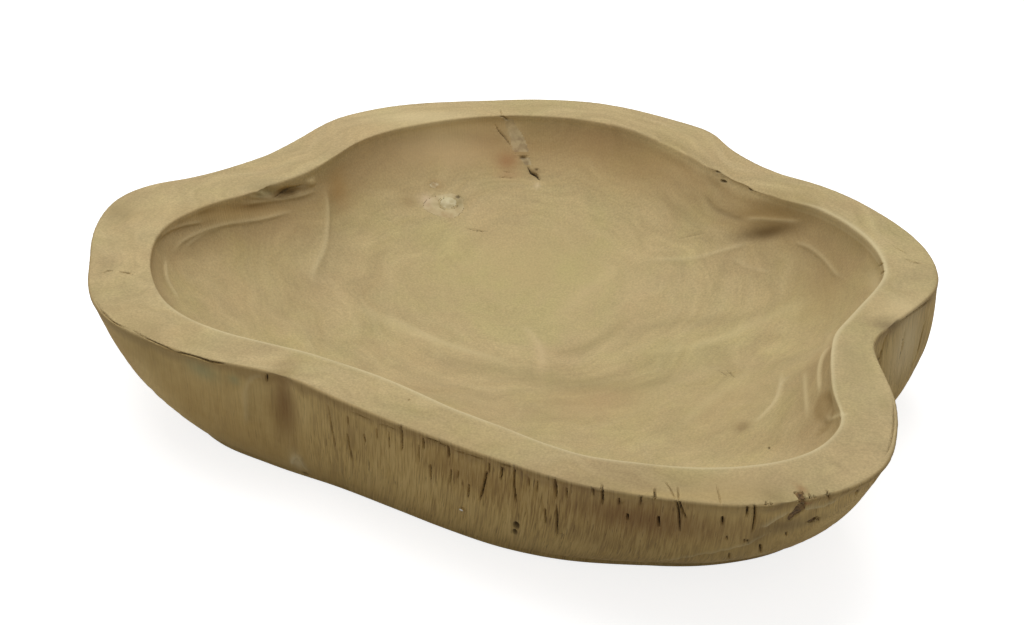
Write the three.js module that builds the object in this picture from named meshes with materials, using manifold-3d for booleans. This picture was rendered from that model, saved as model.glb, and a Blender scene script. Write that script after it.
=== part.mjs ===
// A live-edge bowl carved from one slab of teak root, with the fillers, knots and bark set in it.
// Millimetres, +Z up. The origin is on the table under the middle of the rim, and -Y is the front.
import * as THREE from "three";
import { mergeVertices } from "three/addons/utils/BufferGeometryUtils.js";
import Module from "manifold-3d";

// Driving dimensions of the bowl
const bowlWidth = 452; // overall, left to right
const bowlHeight = 80;
const floorThickness = 20; // wood left under the middle of the hollow
const rimOuterRound = 2; // sanded edge between the rim and the outer wall
const rimInnerRound = 3.5; // sanded edge between the rim and the hollow
const footRound = 4; // sanded edge of the foot
const hollowFlatness = 3; // higher makes the floor of the hollow flatter
const hollowSteepness = 1.6; // higher makes the wall of the hollow steeper under the rim
const swellSkew = 0.8; // below 1 the outer wall swells most below its middle

// Driving dimensions of what is set in the wood
const clearance = 0.3; // gap between an inlay and its pocket
const fissureDepth = 10;
const knotDepth = 8;
const knotFillerDepth = 5;
const pinKnotDepth = 6;
const barkDepth = 6;
const glueDepth = 2.5;
const upperFillerEnd = -1.8; // lower end of the upper filler, along the fissure
const lowerFillerTop = -5; // ends of the lower filler, along the fissure
const lowerFillerEnd = -10;

// The rim as drawn, before it is brought to the bowl's width: degrees from +X, radius of its outer edge,
// width of its flat
const rimStations = [
  [0, 227, 29],
  [10, 224, 26],
  [20, 215, 25],
  [30, 204, 26],
  [37, 194, 22],
  [45, 194, 21],
  [50, 199, 24],
  [55, 209, 29],
  [63, 213, 26],
  [76, 219, 26],
  [86, 218, 24],
  [95, 216, 23],
  [106, 219, 29],
  [118, 217, 35],
  [126, 206, 35],
  [134, 199, 34],
  [142, 203, 35],
  [149, 214, 40],
  [153, 227, 46],
  [158, 235, 46],
  [166, 233, 38],
  [176, 224, 33],
  [184, 220, 35],
  [190, 215, 36],
  [196, 205, 35],
  [203, 189, 33],
  [210, 175, 33],
  [217, 160, 29],
  [224, 151, 26],
  [236, 150, 29],
  [248, 155, 30],
  [260, 166, 29],
  [270, 181, 30],
  [280, 203, 29],
  [288, 220, 31],
  [296, 240, 35],
  [303, 250, 34],
  [309, 255, 34],
  [314, 252, 33],
  [318, 244, 31],
  [322, 235, 36],
  [326, 225, 35],
  [331, 211, 29],
  [335, 202, 24],
  [339, 197, 21],
  [344, 202, 23],
  [350, 213, 28],
  [355, 223, 31],
];
// The foot as drawn: degrees from +X, radius of its edge, how far the wall above it swells out
const footStations = [
  [0, 206, 9],
  [18, 191, 8],
  [40, 160, 8],
  [60, 162, 8],
  [80, 166, 8],
  [105, 166, 8],
  [130, 160, 8],
  [150, 168, 9],
  [170, 174, 9],
  [185, 171, 9],
  [195, 161, 8],
  [206, 142, 6],
  [222, 124, 5],
  [240, 120, 4],
  [256, 127, 4],
  [270, 140, 4],
  [280, 151, 6],
  [292, 165, 9],
  [304, 184, 10],
  [315, 196, 8],
  [325, 194, 7],
  [336, 180, 3],
  [345, 188, 3],
];
const columnsPerStation = 3;
const wallSteps = 6;
const hollowSteps = 11;

// What is set in the wood: its seat as an angle and a height below the rim, and its outline as [right, up]
// points on the surface about the seat, or about an offset from it, seen from the air side
const fissure = {
  angle: 88,
  belowRim: 18.8,
  outline: [
    [-12, 24],
    [-7.6, 24],
    [-2.5, 15],
    [2, 9],
    [4.8, 3],
    [6, -4],
    [7.6, -10],
    [9.8, -13.5],
    [12.6, -18],
    [11, -18.4],
    [7, -14],
    [3.6, -10],
    [-0.4, -5],
    [-4.8, 0.5],
    [-6.3, 8],
    [-9, 15],
  ],
};
const knotSeat = { angle: 104.3, belowRim: 38.7 }; // the knots and the filler round them share one seat
const floorKnotFiller = {
  ...knotSeat,
  outline: [
    [-13, 1.5],
    [-10, 6.5],
    [1, 9],
    [8, 8.2],
    [12.4, 4],
    [12, -1.5],
    [9.5, -6.5],
    [3, -9.5],
    [-4, -7.5],
    [-9.5, -3.5],
  ],
};
const floorKnot = {
  ...knotSeat,
  offset: [3, 2],
  outline: [
    [-5.4, 0.4],
    [-3, 3.6],
    [1.4, 4.4],
    [5, 1.8],
    [5.2, -1.8],
    [1.6, -4.2],
    [-3.4, -3.4],
  ],
};
const floorPinKnot = {
  ...knotSeat,
  offset: [-1.8, 16],
  outline: [
    [-2.7, 0],
    [0, 2.3],
    [2.7, 0.2],
    [0.2, -2.2],
  ],
};
const largeBark = {
  angle: 302.6,
  belowRim: 11.6,
  outline: [
    [-1.2, 13],
    [0.6, 12],
    [3, 4],
    [3.2, 0],
    [1, -4],
    [-2, -8],
    [-3.4, -6],
    [-2.6, 3],
  ],
};
const smallBark = {
  angle: 305.5,
  belowRim: 23.5,
  outline: [
    [-2.6, 0.4],
    [0, 3],
    [2.4, 3.8],
    [2.6, 0],
    [2, -3.4],
    [-0.4, -1.8],
  ],
};
const glueBead = {
  angle: 261.2,
  belowRim: 50.1,
  outline: [
    [-1.3, 0],
    [0, 1.4],
    [1.3, 0.2],
    [0.2, -1.3],
  ],
};
const outlineSteps = 3; // steps between two points of an outline
const proud = 18; // how far a cutting solid stands out of the surface it cuts
const mergeDistance = 1e-4; // points closer than this are one point

const wasm = await Module();
wasm.setup();

// A closed smooth line through the stations, read at any angle
function around(stations, column) {
  const turns = [-360, 0, 360];
  const angles = turns.flatMap((turn) => stations.map((station) => station[0] + turn));
  const values = turns.flatMap(() => stations.map((station) => station[column]));
  const line = new THREE.CubicInterpolant(angles, values, 1);
  return (angle) => line.evaluate(angle)[0];
}
function polar(angle, radius, height) {
  const a = THREE.MathUtils.degToRad(angle);
  return new THREE.Vector3(radius * Math.cos(a), radius * Math.sin(a), height);
}

// The angles of the columns of faces, a few to each station
function columnAngles() {
  return rimStations.flatMap(([angle], i) => {
    const next = i + 1 < rimStations.length ? rimStations[i + 1][0] : rimStations[0][0] + 360;
    const step = (next - angle) / columnsPerStation;
    return Array.from({ length: columnsPerStation }, (_, k) => angle + step * k);
  });
}

// The drawn lines, brought to the bowl's width
const drawnRim = around(rimStations, 1);
const drawnSides = columnAngles().map((angle) => polar(angle, drawnRim(angle), 0).x);
const widthScale = bowlWidth / (Math.max(...drawnSides) - Math.min(...drawnSides));
const scaled = (line) => (angle) => line(angle) * widthScale;
const rimRadius = scaled(drawnRim);
const rimWidth = scaled(around(rimStations, 2));
const footRadius = scaled(around(footStations, 1));
const wallSwell = scaled(around(footStations, 2));
const mouthRadius = (angle) => rimRadius(angle) - rimWidth(angle);

// The outer wall, u running from the foot (0) to the rim (1)
function wallPoint(angle, u) {
  const swell = wallSwell(angle) * Math.sin(Math.PI * Math.pow(u, swellSkew));
  const radius = THREE.MathUtils.lerp(footRadius(angle), rimRadius(angle), u) + swell;
  return polar(angle, radius, THREE.MathUtils.lerp(footRound, bowlHeight - rimOuterRound, u));
}

// The hollow, s running from the middle (0) to the mouth (1)
function hollowPoint(angle, s) {
  const rise = 1 - Math.pow(1 - Math.pow(s, hollowFlatness), 1 / hollowSteepness);
  const height = THREE.MathUtils.lerp(floorThickness, bowlHeight - rimInnerRound, rise);
  return polar(angle, mouthRadius(angle) * s, height);
}

// The two surfaces that inlays are set in: their points, the share of the way up at a height below the rim,
// and whether the wood lies inside (1) or outside (-1) of them
const wall = {
  point: wallPoint,
  share: (below) => THREE.MathUtils.inverseLerp(footRound, bowlHeight - rimOuterRound, bowlHeight - below),
  facing: 1,
};
const hollow = {
  point: hollowPoint,
  share: (below) => {
    const mouth = bowlHeight - rimInnerRound;
    const rise = THREE.MathUtils.inverseLerp(floorThickness, mouth, bowlHeight - below);
    return Math.pow(1 - Math.pow(1 - rise, hollowSteepness), 1 / hollowFlatness);
  },
  facing: -1,
};

// The rings of the bowl's skin, from the foot up the wall, over the rim and down into the hollow
function skinRings() {
  const bend = 1 - Math.SQRT1_2; // how far the middle of a quarter round lies from its corner
  const rings = [
    (a) => polar(a, footRadius(a) - footRound, 0),
    (a) => polar(a, footRadius(a) - footRound * bend, footRound * bend),
  ];
  for (let k = 0; k <= wallSteps; k++) {
    rings.push((a) => wallPoint(a, k / wallSteps));
  }
  rings.push((a) => polar(a, rimRadius(a) - rimOuterRound * bend, bowlHeight - rimOuterRound * bend));
  rings.push((a) => polar(a, rimRadius(a) - rimOuterRound, bowlHeight));
  rings.push((a) => polar(a, mouthRadius(a) + rimInnerRound, bowlHeight));
  rings.push((a) => polar(a, mouthRadius(a) + rimInnerRound * bend, bowlHeight - rimInnerRound * bend));
  for (let k = 0; k < hollowSteps; k++) {
    rings.push((a) => hollowPoint(a, Math.cos((k / hollowSteps) * Math.PI * 0.5)));
  }
  return rings;
}

function bowlGeometry() {
  const angles = columnAngles();
  const rings = skinRings();
  const columns = angles.length;
  const positions = [0, 0, 0];
  for (const ring of rings) {
    for (const angle of angles) positions.push(...ring(angle).toArray());
  }
  positions.push(0, 0, floorThickness);
  const at = (ring, j) => 1 + ring * columns + (j % columns);
  const top = rings.length - 1;
  const middle = positions.length / 3 - 1;
  const faces = [];
  for (let j = 0; j < columns; j++) {
    faces.push(0, at(0, j + 1), at(0, j));
    for (let k = 0; k < top; k++) {
      faces.push(at(k, j), at(k, j + 1), at(k + 1, j + 1));
      faces.push(at(k, j), at(k + 1, j + 1), at(k + 1, j));
    }
    faces.push(at(top, j), at(top, j + 1), middle);
  }
  const geometry = new THREE.BufferGeometry();
  geometry.setAttribute("position", new THREE.Float32BufferAttribute(positions, 3));
  geometry.setIndex(faces);
  return geometry;
}

function solidOf(geometry) {
  geometry.deleteAttribute("normal");
  geometry.deleteAttribute("uv");
  const merged = mergeVertices(geometry, mergeDistance);
  const vertProperties = merged.attributes.position.array;
  const triVerts = new Uint32Array(merged.index.array);
  return new wasm.Manifold(new wasm.Mesh({ numProp: 3, vertProperties, triVerts }));
}

function geometryOf(solid) {
  const mesh = solid.getMesh();
  const geometry = new THREE.BufferGeometry();
  geometry.setAttribute("position", new THREE.BufferAttribute(mesh.vertProperties, 3));
  geometry.setIndex(new THREE.BufferAttribute(mesh.triVerts, 1));
  return geometry;
}

// The frame of a place on a surface, seen from the air: x to the right, y towards the rim, z out of the wood
function seatFrame({ point, share, facing }, { angle, belowRim }) {
  const turn = 1;
  const climb = 0.01;
  const along = share(belowRim);
  const right = point(angle + turn, along).sub(point(angle - turn, along));
  right.multiplyScalar(facing).normalize();
  const up = point(angle, along + climb).sub(point(angle, along - climb)).normalize();
  const out = right.clone().cross(up).normalize();
  up.crossVectors(out, right);
  return new THREE.Matrix4().makeBasis(right, up, out).setPosition(point(angle, along));
}

// An inlay's smooth closed outline about its seat, moved out by a margin
function smoothOutline({ outline, offset = [0, 0] }, margin) {
  const curve = new THREE.CatmullRomCurve3(
    outline.map(([x, y]) => new THREE.Vector3(x + offset[0], y + offset[1], 0)),
    true,
  );
  const line = curve.getPoints(outline.length * outlineSteps).slice(1);
  const sense = Math.sign(THREE.ShapeUtils.area(line));
  return line.map((p, i) => {
    const before = line[(i + line.length - 1) % line.length];
    const after = line[(i + 1) % line.length];
    const along = new THREE.Vector2(after.x - before.x, after.y - before.y).normalize();
    return new THREE.Vector2(p.x + along.y * margin * sense, p.y - along.x * margin * sense);
  });
}

// A solid with the inlay's outline, from its depth in the wood to clear of the surface
function plug(surface, inlay, depth, margin) {
  const shape = new THREE.Shape(smoothOutline(inlay, margin));
  const geometry = new THREE.ExtrudeGeometry(shape, { depth: depth + proud, bevelEnabled: false });
  geometry.translate(0, 0, -depth);
  geometry.applyMatrix4(seatFrame(surface, inlay));
  return solidOf(geometry);
}

// A slab across an inlay between two heights on the surface
function bandAcross(surface, inlay, low, high) {
  const reach = Math.max(...inlay.outline.flat().map(Math.abs)) * 2 + proud * 2;
  const geometry = new THREE.BoxGeometry(reach, high - low, reach);
  geometry.translate(0, (high + low) / 2, 0);
  geometry.applyMatrix4(seatFrame(surface, inlay));
  return solidOf(geometry);
}

const blank = solidOf(bowlGeometry());
const pocketOf = (surface, inlay, depth) => plug(surface, inlay, depth + clearance, clearance);
const inlayOf = (surface, inlay, depth) => blank.intersect(plug(surface, inlay, depth, 0));

const knotPocket = pocketOf(hollow, floorKnot, knotDepth);
const fissureTop = Math.max(...fissure.outline.map(([, up]) => up)) + proud;
const fissureFill = inlayOf(hollow, fissure, fissureDepth);
const pockets = [
  pocketOf(hollow, fissure, fissureDepth),
  pocketOf(hollow, floorKnotFiller, knotFillerDepth),
  knotPocket,
  pocketOf(hollow, floorPinKnot, pinKnotDepth),
  pocketOf(wall, largeBark, barkDepth),
  pocketOf(wall, smallBark, barkDepth),
  pocketOf(wall, glueBead, glueDepth),
];

const bowl = new THREE.Group();
function addPiece(name, solid, color, roughness) {
  const mesh = new THREE.Mesh(geometryOf(solid), new THREE.MeshStandardMaterial({ color, roughness }));
  mesh.name = name;
  bowl.add(mesh);
}

const body = pockets.reduce((rest, pocket) => rest.subtract(pocket), blank);
addPiece("bowl_body", body, 0xb49f74, 0.8);

const upperBand = bandAcross(hollow, fissure, upperFillerEnd, fissureTop);
addPiece("fissure_filler_upper", fissureFill.intersect(upperBand), 0x998868, 0.9);
const lowerBand = bandAcross(hollow, fissure, lowerFillerEnd, lowerFillerTop);
addPiece("fissure_filler_lower", fissureFill.intersect(lowerBand), 0x9a8f6c, 0.9);

const ringFiller = inlayOf(hollow, floorKnotFiller, knotFillerDepth).subtract(knotPocket);
addPiece("floor_knot_filler", ringFiller, 0xb9a583, 0.85);
addPiece("floor_knot", inlayOf(hollow, floorKnot, knotDepth), 0xb4a57f, 0.75);
addPiece("floor_pin_knot", inlayOf(hollow, floorPinKnot, pinKnotDepth), 0x9d7f55, 0.75);
addPiece("rim_bark_large", inlayOf(wall, largeBark, barkDepth), 0x5a452c, 0.95);
addPiece("rim_bark_small", inlayOf(wall, smallBark, barkDepth), 0x62503a, 0.95);
addPiece("glue_bead", inlayOf(wall, glueBead, glueDepth), 0xe9e6dc, 0.4);

// The outline is drawn from the hollow's middle, and the part's origin is under the middle of its box
const middle = new THREE.Box3().setFromObject(bowl).getCenter(new THREE.Vector3());
for (const piece of bowl.children) piece.position.set(-middle.x, -middle.y, 0);

export default bowl;
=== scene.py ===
import math
import random
from functools import partial

import bmesh
import bpy
import numpy as np
from mathutils import Euler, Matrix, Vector, noise
from mathutils.bvhtree import BVHTree


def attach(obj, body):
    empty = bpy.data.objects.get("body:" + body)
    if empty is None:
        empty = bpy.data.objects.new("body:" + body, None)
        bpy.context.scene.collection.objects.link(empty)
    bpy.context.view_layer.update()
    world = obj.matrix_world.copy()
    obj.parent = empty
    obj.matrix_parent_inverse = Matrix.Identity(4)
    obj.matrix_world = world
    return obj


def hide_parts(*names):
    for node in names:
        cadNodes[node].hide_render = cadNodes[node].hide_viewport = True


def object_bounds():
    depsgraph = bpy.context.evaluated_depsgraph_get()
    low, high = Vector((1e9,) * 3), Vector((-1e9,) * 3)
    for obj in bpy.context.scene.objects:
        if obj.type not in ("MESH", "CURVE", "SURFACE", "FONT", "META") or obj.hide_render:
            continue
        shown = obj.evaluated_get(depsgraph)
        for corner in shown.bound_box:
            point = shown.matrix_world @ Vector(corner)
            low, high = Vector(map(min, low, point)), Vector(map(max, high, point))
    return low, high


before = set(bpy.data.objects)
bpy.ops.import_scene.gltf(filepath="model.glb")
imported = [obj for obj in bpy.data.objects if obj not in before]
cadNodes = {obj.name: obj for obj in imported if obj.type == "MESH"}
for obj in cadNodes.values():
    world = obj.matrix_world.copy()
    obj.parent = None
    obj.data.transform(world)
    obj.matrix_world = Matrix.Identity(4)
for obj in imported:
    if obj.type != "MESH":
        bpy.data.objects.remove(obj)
cadLow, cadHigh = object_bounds()
bpy.ops.object.select_all(action="DESELECT")
mm = 0.001
print("frame loaded,", len(cadNodes), "CAD nodes")


# Camera, at the photograph's viewing angle
photoView = dict(
    size=(1024, 625),  # pixels
    place=(1.43, -1079.5, 678.2),  # mm
    tiltDown=30,  # degrees below level
    lens=82.48,  # mm on the sensor below
    sensor=36,
)
cameraData = bpy.data.cameras.new("photoCamera")
cameraData.lens = photoView["lens"]
cameraData.sensor_width = photoView["sensor"]
cameraData.sensor_fit = "HORIZONTAL"
cameraData.clip_start = 0.05
camera = bpy.data.objects.new("photoCamera", cameraData)
camera.location = Vector(photoView["place"]) * mm
cameraTurn = Euler((math.radians(90 - photoView["tiltDown"]), 0, 0))
camera.rotation_euler = cameraTurn
bpy.context.scene.collection.objects.link(camera)
bpy.context.scene.camera = camera
focal = photoView["lens"] / photoView["sensor"] * photoView["size"][0]  # pixels


# The line of sight through a pixel of the photograph
def sightLine(x, y):
    wide, high = photoView["size"]
    look = Vector(((x - wide / 2) / focal, (high / 2 - y) / focal, -1))
    look.rotate(cameraTurn)
    return camera.location.copy(), look.normalized()


# The shape of the bowl, as the CAD body has it: its outlines are read from that body by casting rays
bowlShape = dict(
    floorThickness=20,  # mm, and so are the next three
    rimOuterRound=2,
    rimInnerRound=3.5,
    footRound=4,
    hollowFlatness=3,
    hollowSteepness=1.6,
    swellSkew=0.8,
)
drawnEdge = dict(outer=1.3, inner=1.2)  # mm, sanded edges as the photograph shows them
castSteps = 720
castAngles = np.arange(castSteps) * 2 * np.pi / castSteps
bowlHeight = (cadHigh.z - cadLow.z) / mm


def treeOf(objects):
    points, faces = [], []
    for one in objects:
        first = len(points)
        points.extend(v.co.copy() for v in one.data.vertices)
        faces.extend([first + i for i in f.vertices] for f in one.data.polygons)
    return BVHTree.FromPolygons(points, faces)


cadTree = treeOf(cadNodes.values())


# Evened radius of the solids all round at one height, in mm, from outside or from the axis
def castOutline(height, fromAxis=False):
    radii = []
    far = 0.4
    for angle in castAngles:
        out = Vector((math.cos(angle), math.sin(angle), 0))
        up = Vector((0, 0, height * mm))
        if fromAxis:
            radii.append(cadTree.ray_cast(up, out)[3] / mm)
        else:
            radii.append((far - cadTree.ray_cast(up + out * far, -out)[3]) / mm)
    return evened(np.array(radii), facetSpread)


# A closed line without the seams round the inlays and without the facets of the solid
def evened(values, spread):
    near = np.stack([np.roll(values, k) for k in range(-2, 3)])
    calm = np.median(near, axis=0)
    waves = np.fft.rfftfreq(len(values), 1 / len(values))
    keep = np.exp(-0.5 * (waves * math.radians(spread)) ** 2)
    return np.fft.irfft(np.fft.rfft(calm) * keep, len(values))


facetSpread = 1.0  # degrees
wallLow = bowlShape["footRound"]
wallHigh = bowlHeight - bowlShape["rimOuterRound"]
mouthHigh = bowlHeight - bowlShape["rimInnerRound"]
hair = 0.05  # mm, keeps a ray off the edge between two faces
footLine = castOutline(wallLow + hair)
rimLine = castOutline(wallHigh - hair)
middleLine = castOutline((wallLow + wallHigh) / 2)
mouthLine = castOutline(mouthHigh - hair, fromAxis=True)
swellAtMiddle = math.sin(math.pi * 0.5 ** bowlShape["swellSkew"])
swellLine = (middleLine - (footLine + rimLine) / 2) / swellAtMiddle


def atAngle(line, angle):
    return np.interp(angle, castAngles, line, period=2 * np.pi)


def wallHeight(u):
    return wallLow + (wallHigh - wallLow) * u


def wallRadius(angle, u):
    swell = atAngle(swellLine, angle) * np.sin(np.pi * np.power(u, bowlShape["swellSkew"]))
    return atAngle(footLine, angle) * (1 - u) + atAngle(rimLine, angle) * u + swell


def hollowHeight(s):
    inner = 1 - np.power(np.clip(s, 0, 1), bowlShape["hollowFlatness"])
    rise = 1 - np.power(inner, 1 / bowlShape["hollowSteepness"])
    return bowlShape["floorThickness"] + (mouthHigh - bowlShape["floorThickness"]) * rise


print("outlines read, rim radius %.0f to %.0f mm" % (rimLine.min(), rimLine.max()))


# Skin of the bowl: tubes of rings, each laid on the bowl's surface and bridged to the next
bowlSkin = dict(
    wallColumns=680,
    wallRings=29,
    hollowColumns=400,
    hollowRings=44,
    floorColumns=200,
    floorRings=24,
    middleColumns=48,
    middleRings=6,
    footColumns=120,
    footInset=24,  # mm, where the foot's middle part begins
    footHollow=0.4,  # mm, the bowl stands on the edge of its foot
    frontWeight=1.4,  # the front wall has this many times the columns of the rear
    floorEdge=0.56,  # where the hollow's rings change to the floor's, as a share of the mouth
    middleEdge=0.1,
)


# Angles that give even steps along the rim, closer on the front
def spreadAngles(share):
    x, y = rimLine * np.cos(castAngles), rimLine * np.sin(castAngles)
    step = np.hypot(np.roll(x, -1) - x, np.roll(y, -1) - y)
    front = np.clip(0.5 - y / 160, 0, 1)
    step = step * (1 + (bowlSkin["frontWeight"] - 1) * front)
    run = np.concatenate([[0], np.cumsum(step)])
    return np.interp(share * run[-1], run, np.concatenate([castAngles, [2 * np.pi]]))


# A ring is a function of the angle that gives its radius and its height
def insetRing(line, inset, height):
    return lambda a: (atAngle(line, a) - inset, height)


def rimRing(share):
    wide = rimLine - mouthLine
    return lambda a: (atAngle(rimLine, a) - atAngle(wide, a) * share, bowlHeight)


def hollowRing(share):
    return lambda a: (atAngle(mouthLine, a) * share, hollowHeight(share))


def wallRing(u):
    return lambda a: (wallRadius(a, u), wallHeight(u))


# Cosines and sines of the steps round an edge
def roundSteps(*degrees):
    return [(math.cos(math.radians(d)), math.sin(math.radians(d))) for d in degrees]


def wallRings():
    foot, outer = bowlShape["footRound"], drawnEdge["outer"]
    rings = [insetRing(footLine, d, 0) for d in (16, 9, foot + 1.2)]
    rings += [insetRing(footLine, foot * (1 - s), foot * (1 - c)) for c, s in roundSteps(0, 30, 60)]
    rings += [wallRing(u) for u in np.linspace(0, 1, bowlSkin["wallRings"] + 1)]
    for c, s in roundSteps(0, 30, 60, 90):
        rings.append(insetRing(rimLine, outer * (1 - c), bowlHeight - outer * (1 - s)))
    rings += [insetRing(rimLine, outer + d, bowlHeight) for d in (1.6, 4.5)]
    return rings + [rimRing(0.33)]


def hollowRings():
    inner = drawnEdge["inner"]
    rings = [rimRing(share) for share in (0.58, 0.67, 0.76, 0.84, 0.91)]
    for c, s in roundSteps(0, 30, 60, 90):
        rings.append(insetRing(mouthLine, -inner * (1 - s), bowlHeight - inner * (1 - c)))
    turns = np.linspace(0, math.acos(bowlSkin["floorEdge"]), bowlSkin["hollowRings"] + 1)
    return rings + [hollowRing(share) for share in np.cos(turns)]


def floorRings(first, last, count):
    return [hollowRing(share) for share in np.linspace(first, last, count)]


def underRings():
    inset, high = bowlSkin["footInset"], bowlSkin["footHollow"]
    shares = (1, 0.8, 0.6, 0.4, 0.2, 0.08)
    return [lambda a, k=k: ((atAngle(footLine, a) - inset) * k, high) for k in shares]


def ringTube(name, columns, rings):
    bpy.ops.mesh.primitive_circle_add(vertices=columns, radius=1, fill_type="NOTHING")
    tube = bpy.context.object
    tube.name = name
    bpy.ops.object.mode_set(mode="EDIT")
    for _ in rings[1:]:
        bpy.ops.mesh.extrude_edges_move(TRANSFORM_OT_translate=dict(value=(0, 0, 1)))
    bpy.ops.object.mode_set(mode="OBJECT")
    co = readPoints(tube.data)
    share = np.mod(np.arctan2(co[:, 1], co[:, 0]), 2 * np.pi) / (2 * np.pi)
    angle = spreadAngles(share)
    level = np.rint(co[:, 2]).astype(int)
    for k, ring in enumerate(rings):
        on = level == k
        turn = angle[on]
        radius, height = ring(turn)
        flat = np.full_like(radius, height)
        co[on] = np.stack([radius * np.cos(turn), radius * np.sin(turn), flat], 1) * mm
    writePoints(tube.data, co)
    return tube


# Values of a collection in one array, with so many to a row
def readArray(items, name, width=1, kind=float):
    values = np.empty(len(items) * width, dtype=kind)
    items.foreach_get(name, values)
    return values.reshape(-1, width) if width > 1 else values


def readPoints(mesh):
    return readArray(mesh.vertices, "co", 3)


def writePoints(mesh, co):
    mesh.vertices.foreach_set("co", co.ravel())
    mesh.update()


# Selects the open edges that the test picks, in edit mode
def selectLoops(body, test):
    bpy.ops.object.mode_set(mode="EDIT")
    bpy.ops.mesh.select_mode(type="EDGE")
    bpy.ops.mesh.select_all(action="DESELECT")
    mesh = bmesh.from_edit_mesh(body.data)
    for edge in mesh.edges:
        if edge.is_boundary and all(test(v.co) for v in edge.verts):
            edge.select_set(True)
    mesh.select_flush_mode()
    bmesh.update_edit_mesh(body.data)


def bridgeLoops(body, test):
    selectLoops(body, test)
    bpy.ops.mesh.bridge_edge_loops()
    bpy.ops.object.mode_set(mode="OBJECT")


# Closes a small open loop with a fan about its middle
def closePole(body, test):
    selectLoops(body, test)
    bpy.ops.mesh.edge_face_add()
    bpy.ops.mesh.poke()
    bpy.ops.object.mode_set(mode="OBJECT")


def shareOfMouth(co):
    return math.hypot(co.x, co.y) / mm / atAngle(mouthLine, math.atan2(co.y, co.x))


# Selects these objects and no others, with the first as the active one
def makeActive(*objects):
    bpy.ops.object.select_all(action="DESELECT")
    for one in objects:
        one.select_set(True)
    bpy.context.view_layer.objects.active = objects[0]


def makeBody():
    edge, middle = bowlSkin["floorEdge"], bowlSkin["middleEdge"]
    step = (edge - middle) / bowlSkin["floorRings"]
    floorPart = floorRings(edge - step, middle + step, bowlSkin["floorRings"] - 1)
    middlePart = floorRings(middle, middle / bowlSkin["middleRings"], bowlSkin["middleRings"])
    tubes = [
        ringTube("bowlBody", bowlSkin["wallColumns"], wallRings()),
        ringTube("hollowTube", bowlSkin["hollowColumns"], hollowRings()),
        ringTube("floorTube", bowlSkin["floorColumns"], floorPart),
        ringTube("middleTube", bowlSkin["middleColumns"], middlePart),
        ringTube("footTube", bowlSkin["footColumns"], underRings()),
    ]
    makeActive(*tubes)
    bpy.ops.object.join()
    body = bpy.context.object
    top, low, half = bowlHeight * mm - 1e-5, 1e-3, (edge + middle) / 2
    bridgeLoops(body, lambda co: co.z > top)
    bridgeLoops(body, lambda co: low < co.z < top and shareOfMouth(co) > half)
    bridgeLoops(body, lambda co: low < co.z and middle / 2 < shareOfMouth(co) < half)
    bridgeLoops(body, lambda co: co.z < low and shareOfMouth(co) > half)
    closePole(body, lambda co: co.z > low and shareOfMouth(co) < middle / 2)
    closePole(body, lambda co: co.z < low and shareOfMouth(co) < half)
    bpy.ops.object.mode_set(mode="EDIT")
    bpy.ops.mesh.select_all(action="SELECT")
    bpy.ops.mesh.normals_make_consistent(inside=False)
    bpy.ops.object.mode_set(mode="OBJECT")
    return body


body = makeBody()
skinTree = treeOf([body])
print("skin made,", len(body.data.polygons), "faces")


# Marks on the wood are drawn through pixels of the photograph onto the skin
def onSkin(x, y):
    start, look = sightLine(x, y)
    place, normal, _, reach = skinTree.ray_cast(start, look)
    return place, normal, look, reach


# A smooth line through pixels, laid on the skin with a point every so many pixels
def drawnLine(pixels, gap=3.0):
    p = np.array(pixels, float)
    p = np.vstack([2 * p[0] - p[1], p, 2 * p[-1] - p[-2]])
    made = []
    for a, b, c, d in zip(p, p[1:], p[2:], p[3:]):
        steps = max(1, math.ceil(np.linalg.norm(c - b) / gap))
        for t in np.arange(steps) / steps:
            bend = (2 * a - 5 * b + 4 * c - d) * t**2 + (3 * b - a - 3 * c + d) * t**3
            made.append(0.5 * (2 * b + (c - a) * t + bend))
    made.append(p[-2])
    places = [onSkin(x, y)[0] for x, y in made]
    return np.array([q for q in places if q is not None])


# Points near a line: which they are, how far off, how far along it, and on which side
def nearLine(path, points, normals, reach):
    low, high = path.min(0) - reach, path.max(0) + reach
    found = np.flatnonzero(((points > low) & (points < high)).all(1))
    p = points[found]
    best = np.full(len(found), 1e9)
    along, side = np.zeros(len(found)), np.zeros(len(found))
    for k in range(len(path) - 1):
        run = path[k + 1] - path[k]
        t = np.clip((p - path[k]) @ run / max(run @ run, 1e-12), 0, 1)
        off = p - path[k] - t[:, None] * run
        far = np.linalg.norm(off, axis=1)
        near = far < best
        best[near] = far[near]
        along[near] = ((k + t) / (len(path) - 1))[near]
        turn = np.einsum("ij,ij->i", np.cross(run, off), normals[found])
        side[near] = np.sign(turn)[near]
    keep = best < reach
    return found[keep], best[keep], along[keep], side[keep]


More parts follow.
